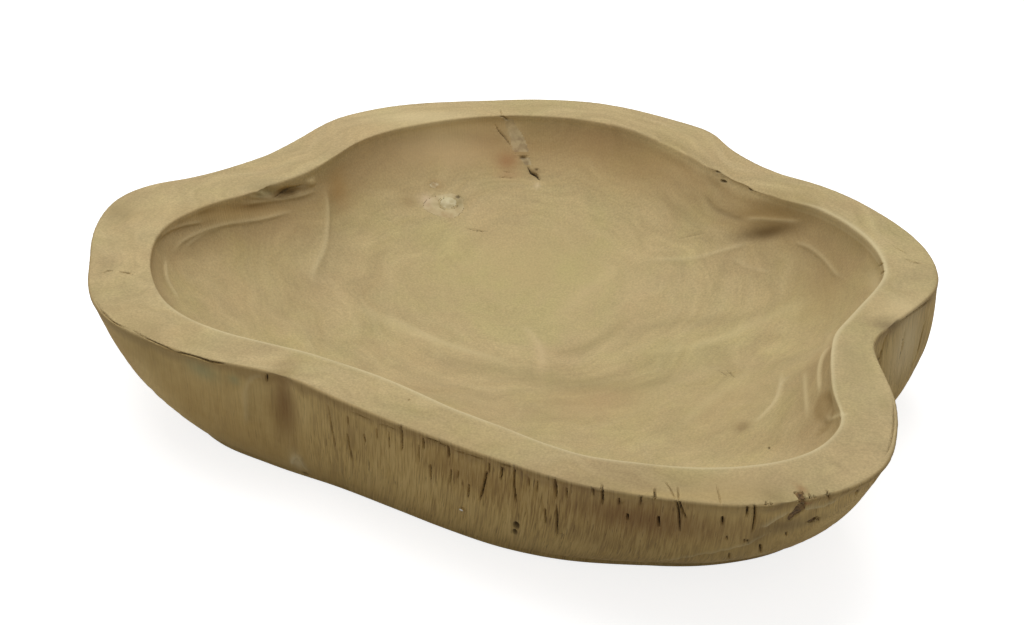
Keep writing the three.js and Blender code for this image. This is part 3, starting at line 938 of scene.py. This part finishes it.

# Soft patches on the wood, stains of other colour with painted shade and painted light among them: pixel,
# half sizes in pixels, colour and strength
stainsShadeAndLight = [
    ((490, 142), (24, 22), "#a8855a", 0.3),
    ((596, 142), (26, 18), "#a07c54", 0.3),
    ((507, 161), (12, 9), "#8f5a34", 0.7),
    ((338, 188), (11, 20), "#a07c48", 0.55),
    # painted shadow in the pocket at the rear right
    ((768, 231), (30, 8), "#46300a", 0.82),
    ((775, 212), (36, 18), "#84652f", 0.45),
    ((640, 165), (55, 25), "#a5824e", 0.3),
    ((520, 150), (70, 22), "#a97f50", 0.2),
    ((876, 284), (8, 12), "#d0bd90", 0.5),
    ((825, 278), (30, 30), "#8a6a46", 0.4),
    ((790, 203), (26, 9), "#8a7048", 0.3),
    ((520, 268), (95, 34), "#bcae74", 0.32),
    ((600, 400), (55, 22), "#b08d66", 0.4),
    ((408, 201), (11, 7), "#8d7048", 0.45),
    ((508, 175), (14, 5), "#ad8760", 0.5),
    ((741, 427), (8, 5), "#77603c", 0.6),
    ((202, 371), (17, 8), "#98986e", 0.6),
    ((234, 380), (6, 5), "#98986e", 0.6),
    ((282, 408), (12, 34), "#6f4720", 0.72),
    ((297, 462), (6, 7), "#e0cc9c", 0.8),
    ((264, 189.6), (13, 4), "#968660", 0.65),
    ((288, 196), (12, 4), "#735728", 0.45),
    # painted light under the rim at the rear left
    ((232, 211), (52, 8), "#d4b67e", 0.45),
    ((120, 213), (11, 9), "#94825a", 0.7),
    ((116, 243), (8, 6), "#9a885f", 0.5),
    ((426, 200), (6, 6), "#dcc2a4", 0.5),
    ((446, 198.6), (7, 3.6), "#d8cda4", 0.7),
    ((459.6, 202), (4.6, 6), "#877a50", 0.6),
    ((442, 205), (14, 2), "#9d8c60", 0.45),
    ((451, 211), (11, 2.4), "#cfbf92", 0.5),
    ((436, 184.6), (6, 4.4), "#9c7c50", 0.7),
    ((437, 184.4), (1.6, 1.4), "#d6c8a2", 0.7),
    # painted light on the top of the filler, under the rear rim
    ((512, 131), (8, 10), "#bfad86", 0.45),
    ((640, 520), (100, 20), "#775430", 0.76),
    ((470, 476), (70, 20), "#8d6a3a", 0.5),
    ((640, 496), (80, 6), "#c0a66c", 0.4),
    ((730, 514), (46, 7), "#bfa56c", 0.45),
    ((720, 552), (80, 8), "#b79c62", 0.5),
    ((470, 508), (80, 10), "#c6aa70", 0.45),
    ((480, 402), (110, 26), "#a88f68", 0.25),
    ((262, 300), (60, 40), "#a68e64", 0.25),
    ((440, 150), (56, 18), "#cdb084", 0.5),
    ((784, 526), (22, 5), "#5f4a2e", 0.55),
    ((757, 540), (12, 8), "#66512f", 0.4),
    ((807, 504.4), (5, 1.8), "#8f5a34", 0.6),
    ((776, 509), (14, 3), "#6b5636", 0.4),
    ((140, 345), (40, 22), "#a08c5c", 0.3),
    ((893, 326), (9, 6), "#5c452c", 0.6),
    ((907, 345), (20, 36), "#e2cc9c", 0.8),
    ((537, 185.5), (3.4, 3), "#dcc8a0", 0.6),
    ((534, 172.6), (6, 4), "#70552f", 0.5),
    ((525, 162), (5, 4), "#857550", 0.4),
    ((756, 211), (16, 7), "#8a6e3e", 0.35),
    ((600, 541), (60, 10), "#6e5230", 0.35),
    ((355, 436), (34, 22), "#8f7040", 0.3),
    ((740, 485), (50, 10), "#a8926a", 0.3),
    ((862, 372), (16, 40), "#9f9168", 0.3),
    ((847, 352), (9, 9), "#a19268", 0.35),
    ((884, 404), (6, 9), "#9a8c5c", 0.4),
    ((800, 527), (34, 5), "#5a472a", 0.4),
    ((858.6, 493), (3, 2), "#4a3a20", 0.6),
    ((204, 212.4), (8, 2.6), "#75592a", 0.4),
    # painted shade under the rim at the rear left
    ((252, 206), (16, 3), "#735628", 0.4),
    # painted light under the rear rim
    ((470, 126), (60, 7), "#d9bd88", 0.5),
    ((311, 183), (5, 5), "#d2bc8a", 0.5),
    # painted shade under the rim at the rear left
    ((250, 208), (42, 6), "#7d5d28", 0.36),
    # painted light under the rear rim
    ((415, 117), (50, 7), "#e0cd9e", 0.4),
    ((820, 305), (40, 36), "#a08658", 0.3),
    ((735, 400), (50, 34), "#ab9264", 0.3),
    ((370, 478), (50, 12), "#c9ad72", 0.35),
]
# Pockets and broken places, as the patches above but with clear edges: painted shade in the two pockets at
# the right lip, then the faces of two chips at the rear left
pockets = [
    ((822.5, 406), (13, 11), "#8a7042", 0.5),
    ((826, 426), (14, 5), "#8a7244", 0.45),
    ((266, 193.4), (11, 3), "#938a62", 0.45),
    ((286, 193.6), (12, 5.4), "#775e34", 0.5),
]
# Streaks of pale and dark grain across the floor, and painted highlights along the ridges at the right lip:
# pixels along each, half its width in mm, colour and strength
streaks = [
    ([(524.5, 325), (537, 344), (542, 358.6), (539, 384)], 3, "#d0b68a", 0.4),
    ([(349, 303), (394, 323.5), (435, 339.4), (483, 355.4), (515, 368)], 4, "#cdbc8c", 0.35),
    ([(550, 323.5), (572, 304), (601, 279), (623, 263)], 5, "#cbb487", 0.3),
    ([(636, 352), (690, 346), (754, 323.5), (808, 298)], 4, "#c8b788", 0.35),
    ([(668, 438), (706, 403), (744.5, 378)], 3.5, "#c8b688", 0.25),
    ([(553, 355), (585, 347.4), (610.6, 333), (630, 317)], 4, "#8a7c50", 0.35),
    (
        [(426, 352), (473.5, 365), (534, 378), (585, 384), (649, 384), (690, 368), (728.6, 346)],
        8,
        "#8f8358",
        0.3,
    ),
    ([(617, 362), (626.5, 339), (665, 323.5), (744.5, 317), (792, 295)], 5, "#92845a", 0.25),
    ([(636, 221.5), (640, 236), (642.5, 253)], 2.5, "#8e7f56", 0.3),
    ([(717, 295), (720.6, 269), (725, 256.5)], 2.5, "#8e7f56", 0.3),
    ([(639, 186), (684, 212), (712.6, 244)], 3, "#8e7b52", 0.3),
    # painted highlights along the ridges at the right lip
    ([(804, 372), (805.5, 392), (808, 419)], 1.6, "#d2bf90", 0.45),
    ([(781, 372), (779, 387), (774.8, 400), (763.7, 413.5), (754, 424)], 1.9, "#d4c092", 0.5),
    ([(826, 418), (838, 416.4), (850, 412.5)], 1.3, "#d4c294", 0.6),
    ([(831, 334), (823, 352), (818.5, 371), (819, 394)], 1.7, "#d0bd8c", 0.4),
]


def linearColour(code):
    parts = [int(code[k : k + 2], 16) / 255 for k in (1, 3, 5)]
    bright = [c / 12.92 if c <= 0.04045 else ((c + 0.055) / 1.055) ** 2.4 for c in parts]
    return (*bright, 1.0)


stain = np.zeros((len(points), 4))
layers = []
for pixel, sizes, code, strength in stainsShadeAndLight:
    layers.append((strength * bell(spotWeight(pixel, sizes)), code))
for pixel, sizes, code, strength in pockets:
    layers.append((strength * (1 - smooth(0.7, 1.25, spotWeight(pixel, sizes))), code))
for pixels, width, code, strength in streaks:
    found, far, along, _ = nearLine(drawnLine(pixels, 8.0), co, normals, 2.5 * width * mm)
    weight = np.zeros(len(points))
    weight[found] = strength * bell(far / mm / width) * np.sin(np.pi * along) ** 0.7
    layers.append((weight, code))
for weight, code in layers:
    colour = np.array(linearColour(code)[:3])
    total = stain[:, 3] + weight * (1 - stain[:, 3])
    share = weight / np.maximum(total, 1e-6)
    stain[:, :3] += (colour - stain[:, :3]) * np.clip(share, 0, 1)[:, None]
    stain[:, 3] = total

# Painted shade: the steep walls of the hollow turn darker, more at the rear, less where the rear walls stand
# upright
tilt, rear = 1 - normals[:, 2], smooth(20, 90, points[:, 1])
steepShade = hollowMask * smooth(0.08, 0.4, tilt) * (0.52 + 0.48 * rear)
steepShade *= 1 - 0.9 * rear * smooth(0.6, 0.95, tilt)
zone = np.stack([wallMask, steepShade, np.clip(worn, 0, 1), openGrain], 1)
inGap = (pocket > 0.8) & (owner < 0)
for k in np.flatnonzero(inGap):
    inGap[k] = inlayTree.find_nearest(Vector(co[k]))[3] > 0.5 * mm
fibreRun = np.concatenate([fibrePoints, np.ones((len(points), 1))], 1)
# What the materials read: rings in mm, painted shade in pits and troughs, kinds of surface (with painted
# shade on steep walls, and wear with painted highlights), stains with painted shade and light, fibres in mm
# and cracks
attributes = dict(ring=rings, check=np.clip(paintedShade, 0, 1), zone=zone, stain=stain, fibre=fibreRun, crack=crack)
for name, values in attributes.items():
    flat = values.ndim == 1
    made = mesh.attributes.new(name, "FLOAT" if flat else "FLOAT_COLOR", "POINT")
    made.data.foreach_set("value" if flat else "color", values.ravel().astype(np.float32))


# Keeps the relief inside the box of the solids
def keepInside(places):
    hairline = 0.02 * mm
    return np.clip(places, np.array(cadLow) + hairline * np.array((1, 1, 0)), np.array(cadHigh))


barks = [inlayNames.index(name) for name in ("rim_bark_large", "rim_bark_small")]
sunk = np.isin(owner, barks)
depth, waves = reliefOf("bark")
lift[sunk] -= inlayCut["sunk"] + depth * np.abs(waves)[sunk]
lift[owner == inlayNames.index("glue_bead")] = inlayCut["bead"]
shaped = co + normals * (lift * mm)[:, None]
shaped[:, 2] -= drop * mm
# The worn edge gives way outward and down in one slant, so that it doesn't fold
slant = np.stack([np.cos(angles), np.sin(angles), -np.ones(len(angles))], 1) / math.sqrt(2)
shaped += slant * (slump * mm)[:, None]
shaped = keepInside(shaped)
writePoints(mesh, shaped)


# Which points the chosen faces have
def pointsOf(chosen):
    return np.isin(np.arange(len(co)), loopVerts[np.repeat(chosen, loopCounts)])


# Takes the faces of one inlay off as a plug of its own, and sinks the points that only they have
def makeInlay(number, name):
    chosen = faceOwner == number
    selectOnly(mesh, faces=chosen)
    plugMesh = mesh.copy()
    plug = bpy.data.objects.new(name, plugMesh)
    bpy.context.scene.collection.objects.link(plug)
    makeActive(plug)
    bpy.ops.object.mode_set(mode="EDIT")
    bpy.ops.mesh.select_all(action="INVERT")
    bpy.ops.mesh.delete(type="FACE")
    bpy.ops.object.mode_set(mode="OBJECT")
    inside = pointsOf(chosen)
    recess = min(inlayCut["depth"], float(np.median(pocket[inside])) - inlayCut["floor"])
    thick = max(recess - inlayCut["play"], inlayCut["thinnest"])
    shell = plug.modifiers.new("plug", "SOLIDIFY")
    shell.thickness = thick * mm
    shell.offset = -1
    bpy.ops.object.modifier_apply(modifier="plug")
    # The back is the front moved in along the skin's own normals, which don't cross as the relief's do
    made = readPoints(plugMesh)
    count = len(made) // 2
    made[count:] = made[:count] - normals[inside] * thick * mm
    writePoints(plugMesh, keepInside(made))
    push[inside & ~pointsOf(~chosen)] = recess
    return plug


push = np.zeros(len(co))
loopCounts = readArray(mesh.polygons, "loop_total", kind=np.int32)
plugs = {}
for number, name in enumerate(inlayNames):
    parts = name.split("_")
    title = parts[0] + "".join(word.capitalize() for word in parts[1:])
    plugs[name] = makeInlay(number, title)
push[inGap] = np.clip(pocket[inGap] - inlayCut["floor"], 0, inlayCut["gapDepth"])
writePoints(mesh, keepInside(shaped - normals * (push * mm)[:, None]))
print("relief laid,", len(plugs), "inlays")


# Materials: what a node's mode sets, for the kinds that have one
modeOf = dict(Math="operation", VectorMath="operation", Attribute="attribute_name", Mix="data_type")


# Adds a node and gives one of its outputs; inputs come in their order or by number or name
def addNode(tree, kind, mode=None, inputs=(), stops=None, out=0):
    node = tree.nodes.new("ShaderNode" + kind)
    if mode:
        setattr(node, modeOf[kind], mode)
    for key, value in inputs.items() if isinstance(inputs, dict) else enumerate(inputs):
        socket = node.inputs[key]
        if isinstance(value, bpy.types.NodeSocket):
            tree.links.new(value, socket)
        else:
            socket.default_value = value
    if stops:
        ramp = node.color_ramp
        for place, code in stops[1:-1]:
            ramp.elements.new(place)
        for element, (place, code) in zip(ramp.elements, sorted(stops)):
            element.position = place
            element.color = linearColour(code)
    return node.outputs[out] if node.outputs else node


# Empties the nodes of a material or of the world and gives the function that adds new ones
def emptyNodes(owner):
    owner.use_nodes = True
    owner.node_tree.nodes.clear()
    return partial(addNode, owner.node_tree)


def newMaterial(name):
    made = bpy.data.materials.new(name)
    return made, emptyNodes(made)


# The piece's own coordinates, in mm
def placeInMm(add):
    place = add("TexCoord", out="Object")
    return add("VectorMath", "SCALE", {0: place, 3: 1000})


# Noise whose cells have a real size, in mm along each axis
def cellNoise(add, place, sizes, detail, roughness=0.5):
    shares = tuple(1 / size for size in sizes)
    scaled = add("VectorMath", "MULTIPLY", (place, shares))
    return add("TexNoise", None, dict(Vector=scaled, Scale=1, Detail=detail, Roughness=roughness))


# Lays a tone over another by a share; the upper one may be a colour code
def mixTone(add, share, under, over):
    over = linearColour(over) if isinstance(over, str) else over
    return add("Mix", "RGBA", {0: share, 6: under, 7: over}, out=2)


def withStainShadeAndLight(add, tone):
    paint = add("Attribute", "stain").node.outputs
    return mixTone(add, paint["Alpha"], tone, paint["Color"])


tornCrack = dict(
    cell=(1.1, 1.1, 3.2),  # mm
    sway=0.28,  # mm, how far its edges wander
    inner=0.5,  # shares of the half width, where it is full and where it ends
    outer=1.2,
)


# How much of a point lies in a drawn crack, from its signed distance, half width and strength
def crackShare(add, inMm):
    painted = add("Attribute", "crack", out="Color")
    offset, half, strength = add("SeparateColor", None, (painted,)).node.outputs
    tear = cellNoise(add, inMm, tornCrack["cell"], 2)
    sway = add("MapRange", None, (tear, 0.3, 0.7, -tornCrack["sway"], tornCrack["sway"]))
    moved = add("Math", "ADD", (offset, sway))
    far = add("Math", "ABSOLUTE", (moved,))
    inner = add("Math", "MULTIPLY", (half, tornCrack["inner"]))
    outer = add("Math", "MULTIPLY_ADD", (half, tornCrack["outer"], 0.001))
    line = add("MapRange", None, (far, inner, outer, 1, 0))
    return add("Math", "MULTIPLY", (line, strength))


# Painted shade in open checks, pits and troughs, then the fine bumps of the grain and the surface, which all
# the materials of the bowl share
def finishSurface(add, inMm, tone, grain, bumpHeight, look):
    check = add("Attribute", "check", out="Fac")
    shadeShare = add("Math", "MAXIMUM", (check, crackShare(add, inMm)))
    tone = mixTone(add, shadeShare, tone, teakLook["check"])
    rough = add("Bump", None, dict(Height=grain, Strength=0.3, Distance=bumpHeight * mm))
    surface = add("BsdfPrincipled", None, {"Base Color": tone, "Normal": rough, **look})
    add("OutputMaterial", None, (surface,))


teakLook = dict(
    late="#a69062",  # end grain of the floor and rim, from dark to light
    mean="#b8a477",
    early="#c6b488",
    pinkish="#b9a277",
    greenish="#b7a775",
    wall="#cfb274",  # long grain of the natural edge, from light to dark
    wallMean="#bd9f60",
    wallDark="#997d4c",
    wallCalm="#b99a5f",  # rubbed part of the wall, dark and light
    wallPale="#d4b87c",
    edgeBand="#8a6f45",  # under the rim
    edgeHeights=(77, 82),  # mm, where that band begins and is full
    edgeWave=12,  # mm, how far its lower edge goes up and down
    edgeShare=0.5,
    hollowBrown="#93754a",
    brownShare=0.42,
    worn="#d3c398",
    wornShare=0.7,
    check="#2b1f11",
    swayCell=60,  # mm, waves of the rings
    ringSway=85,  # mm
    ringDrift=55,  # mm along a ring until it looks different
    ringGap=9,  # mm
    ringShare=0.3,
    ringsFrom=(20, 95),  # mm from the pith, where the rings begin and are full
    lineSway=24,  # mm
    lineGap=3.0,  # mm, fine lines along the rings
    lineTone=0.035,
    cloudGap=22,  # mm, soft clouds of tone
    cloudTone=0.1,
    blotchCell=48,  # mm
    poreCell=1.1,  # mm
    poreTone=(0.84, 1.14),
    fibreGap=0.75,  # mm across the fibres
    fibreLength=16,  # mm along them
    hairShare=0.55,
    bumpHeight=0.6,  # mm
    roughness=0.82,
)


# Bleached and sanded teak root, cut across the trunk: end grain on top, long grain down the wall
def teakMaterial():
    made, add = newMaterial("bleachedTeak")
    inMm = placeInMm(add)
    ring = add("Attribute", "ring", out="Fac")
    zonePaint = add("Attribute", "zone").node.outputs
    fibreRun = add("Attribute", "fibre", out="Color")
    onWall, steepShade, worn = add("SeparateColor", None, (zonePaint["Color"],)).node.outputs
    openGrain = zonePaint["Alpha"]
    x, y, height = add("SeparateXYZ", None, (inMm,)).node.outputs

    # Growth rings, wavy and faint, with thin lines and soft clouds along them
    sway = cellNoise(add, inMm, (teakLook["swayCell"],) * 3, 2)
    slowX = add("Math", "DIVIDE", (x, teakLook["ringDrift"]))
    slowY = add("Math", "DIVIDE", (y, teakLook["ringDrift"]))

    def alongRings(reach, gap, scale, detail, roughness):
        bent = add("Math", "MULTIPLY_ADD", (sway, reach, ring))
        lined = add("Math", "DIVIDE", (bent, gap))
        spot = add("CombineXYZ", None, (lined, slowX, slowY))
        kind = dict(Vector=spot, Scale=scale, Detail=detail, Roughness=roughness)
        return add("TexNoise", None, kind)

    bands = alongRings(teakLook["ringSway"], teakLook["ringGap"], 1, 4, 0.5)
    tones = [(0.25, teakLook["late"]), (0.5, teakLook["mean"]), (0.75, teakLook["early"])]
    grain = add("ValToRGB", None, (bands,), tones)
    blotch = cellNoise(add, inMm, (teakLook["blotchCell"],) * 3, 5, 0.6)
    hues = [(0.36, teakLook["pinkish"]), (0.5, teakLook["mean"]), (0.64, teakLook["greenish"])]
    hue = add("ValToRGB", None, (blotch,), hues)
    begun = add("MapRange", None, (ring, *teakLook["ringsFrom"], 0.1, 1))
    share = add("Math", "MULTIPLY", (begun, teakLook["ringShare"]))
    mixed = mixTone(add, share, hue, grain)
    thinLines = alongRings(teakLook["lineSway"], teakLook["lineGap"], 1.4, 3, 0.5)
    clouds = alongRings(teakLook["ringSway"], teakLook["cloudGap"], 1.7, 4, 0.6)
    for shade, depth in ((thinLines, teakLook["lineTone"]), (clouds, teakLook["cloudTone"])):
        change = add("MapRange", None, (shade, 0.3, 0.7, -depth, depth))
        change = add("Math", "MULTIPLY_ADD", (change, begun, 1))
        mixed = add("VectorMath", "SCALE", {0: mixed, 3: change})
    pore = cellNoise(add, inMm, (teakLook["poreCell"],) * 3, 3)
    poreTone = add("MapRange", None, (pore, 0.25, 0.75, *teakLook["poreTone"]))
    mixed = add("VectorMath", "SCALE", {0: mixed, 3: poreTone})
    # Painted shade on the steep walls of the hollow, a darker brown
    share = add("Math", "MULTIPLY", (steepShade, teakLook["brownShare"]))
    mixed = mixTone(add, share, mixed, teakLook["hollowBrown"])

    # Fibres of the wall: broad streaks, fine ones and hair checks with painted shade in them
    across, along = teakLook["fibreGap"], teakLook["fibreLength"]
    fibre = cellNoise(add, fibreRun, (across, across, along), 3)
    streak = cellNoise(add, fibreRun, (across / 0.11, across / 0.11, along / 0.3), 4)
    hair = cellNoise(add, fibreRun, (across / 0.8, across / 0.8, along / 1.3), 2)
    slow = add("Math", "MULTIPLY", (streak, 0.45))
    both = add("Math", "MULTIPLY_ADD", (fibre, 0.9, slow))
    tones = [(0.54, teakLook["wallDark"]), (0.68, teakLook["wallMean"]), (0.8, teakLook["wall"])]
    wallTone = add("ValToRGB", None, (both,), tones)
    tones = [(0.34, teakLook["wallCalm"]), (0.66, teakLook["wallPale"])]
    calmTone = add("ValToRGB", None, (blotch,), tones)
    wallTone = mixTone(add, openGrain, calmTone, wallTone)
    uneven = add("Math", "MULTIPLY_ADD", (streak, teakLook["edgeWave"], height))
    share = add("MapRange", None, (uneven, *teakLook["edgeHeights"], 0, teakLook["edgeShare"]))
    wallTone = mixTone(add, share, wallTone, teakLook["edgeBand"])
    thin = add("MapRange", None, (hair, 0.62, 0.7, 0, teakLook["hairShare"]))
    share = add("Math", "MULTIPLY", (thin, openGrain))
    wallTone = mixTone(add, share, wallTone, teakLook["check"])
    mixed = mixTone(add, onWall, mixed, wallTone)

    # Stains with painted shade and light, then worn edges with painted highlights
    mixed = withStainShadeAndLight(add, mixed)
    share = add("Math", "MULTIPLY", (worn, teakLook["wornShare"]))
    mixed = mixTone(add, share, mixed, teakLook["worn"])
    look = {"Roughness": teakLook["roughness"], "Specular IOR Level": 0.25}
    finishSurface(add, inMm, mixed, fibre, teakLook["bumpHeight"], look)
    return made


# The fillers, knots, bark and glue: two tones in a grain of a real size, all matt but the glue
inlayLooks = dict(
    sawdust_filler=("sawdustFiller", "#8f8060", "#b9aa82", 3.2, 0.9),  # sawdust bound with glue
    pale_filler=("paleFiller", "#b29a70", "#c3b187", 6.0, 0.85),  # pale wood putty
    knot_wood=("knotWood", "#b4a47c", "#cdc09a", 3.0, 0.8),  # dead knot, sanded
    bark=("ingrownBark", "#4e3a22", "#86693f", 2.2, 0.95),  # dry bark
    dried_glue=("driedGlue", "#dcd8c8", "#eceae0", 5.0, 0.35),  # white glue
)
inlayBump = 0.5  # mm


def inlayMaterial(slot):
    name, low, high, size, roughness = inlayLooks[slot]
    made, add = newMaterial(name)
    inMm = placeInMm(add)
    speck = cellNoise(add, inMm, (size,) * 3, 4)
    tone = add("ValToRGB", None, (speck,), [(0.38, low), (0.6, high)])
    if slot in ("pale_filler", "knot_wood", "sawdust_filler"):
        tone = withStainShadeAndLight(add, tone)
    finishSurface(add, inMm, tone, speck, inlayBump, {"Roughness": roughness})
    return made


slotOf = dict(
    fissure_filler_upper="sawdust_filler",
    fissure_filler_lower="sawdust_filler",
    floor_knot_filler="pale_filler",
    floor_knot="knot_wood",
    floor_pin_knot="knot_wood",
    rim_bark_large="bark",
    rim_bark_small="bark",
    glue_bead="dried_glue",
)
inlayMaterials = {slot: inlayMaterial(slot) for slot in inlayLooks}
pieces = {"bowl_body": (body, "teak", teakMaterial())}
for name, plug in plugs.items():
    pieces[name] = (plug, slotOf[name], inlayMaterials[slotOf[name]])
for name, (piece, slot, look) in pieces.items():
    piece.data.materials.clear()
    piece.data.materials.append(look)
    makeActive(piece)
    bpy.ops.object.shade_smooth_by_angle(angle=math.radians(50))
    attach(piece, "root")
    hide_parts(name)
print("materials set")


# Floor, world and lamp
stageLook = dict(
    floorTone=0.6,
    floorGlow=0.8,  # brings the floor to white where the camera sees it
    floorDrop=0.0002,  # metres, keeps it clear of the foot
    worldLight=0.31,
    lampEnergy=14.1,  # watts
    lampSize=(1.3, 1.0),  # metres
    lampPlace=(-0.1, 0.2, 1.3),
)
bpy.ops.mesh.primitive_plane_add(size=8, location=(0, 0, -stageLook["floorDrop"]))
studioFloor = bpy.context.object
studioFloor.name = "studioFloor"
paper, add = newMaterial("whitePaper")
tone = stageLook["floorTone"]
plain = add("BsdfDiffuse", None, ((tone, tone, tone, 1),))
glow = add("Emission", None, dict(Strength=stageLook["floorGlow"]))
bright = add("AddShader", None, (plain, glow))
rays = add("LightPath").node.outputs
seen = add("Math", "MAXIMUM", (rays["Is Camera Ray"], rays["Is Glossy Ray"]))
seen = add("Math", "MAXIMUM", (seen, rays["Is Transmission Ray"]))
shown = add("MixShader", None, (seen, plain, bright))
add("OutputMaterial", None, (shown,))
studioFloor.data.materials.append(paper)

world = bpy.data.worlds.new("studioWorld")
bpy.context.scene.world = world
add = emptyNodes(world)
ray = add("LightPath", out="Is Camera Ray")
power = add("MapRange", None, (ray, 0, 1, stageLook["worldLight"], 1))
sky = add("Background", None, ((1, 1, 1, 1), power))
add("OutputWorld", None, (sky,))

lampData = bpy.data.lights.new("softBox", "AREA")
lampData.shape = "RECTANGLE"
lampData.size, lampData.size_y = stageLook["lampSize"]
lampData.energy = stageLook["lampEnergy"]
lamp = bpy.data.objects.new("softBox", lampData)
lamp.location = stageLook["lampPlace"]
lamp.rotation_euler = (-lamp.location).to_track_quat("-Z", "Y").to_euler()
bpy.context.scene.collection.objects.link(lamp)

bpy.context.scene.view_settings.view_transform = "Standard"
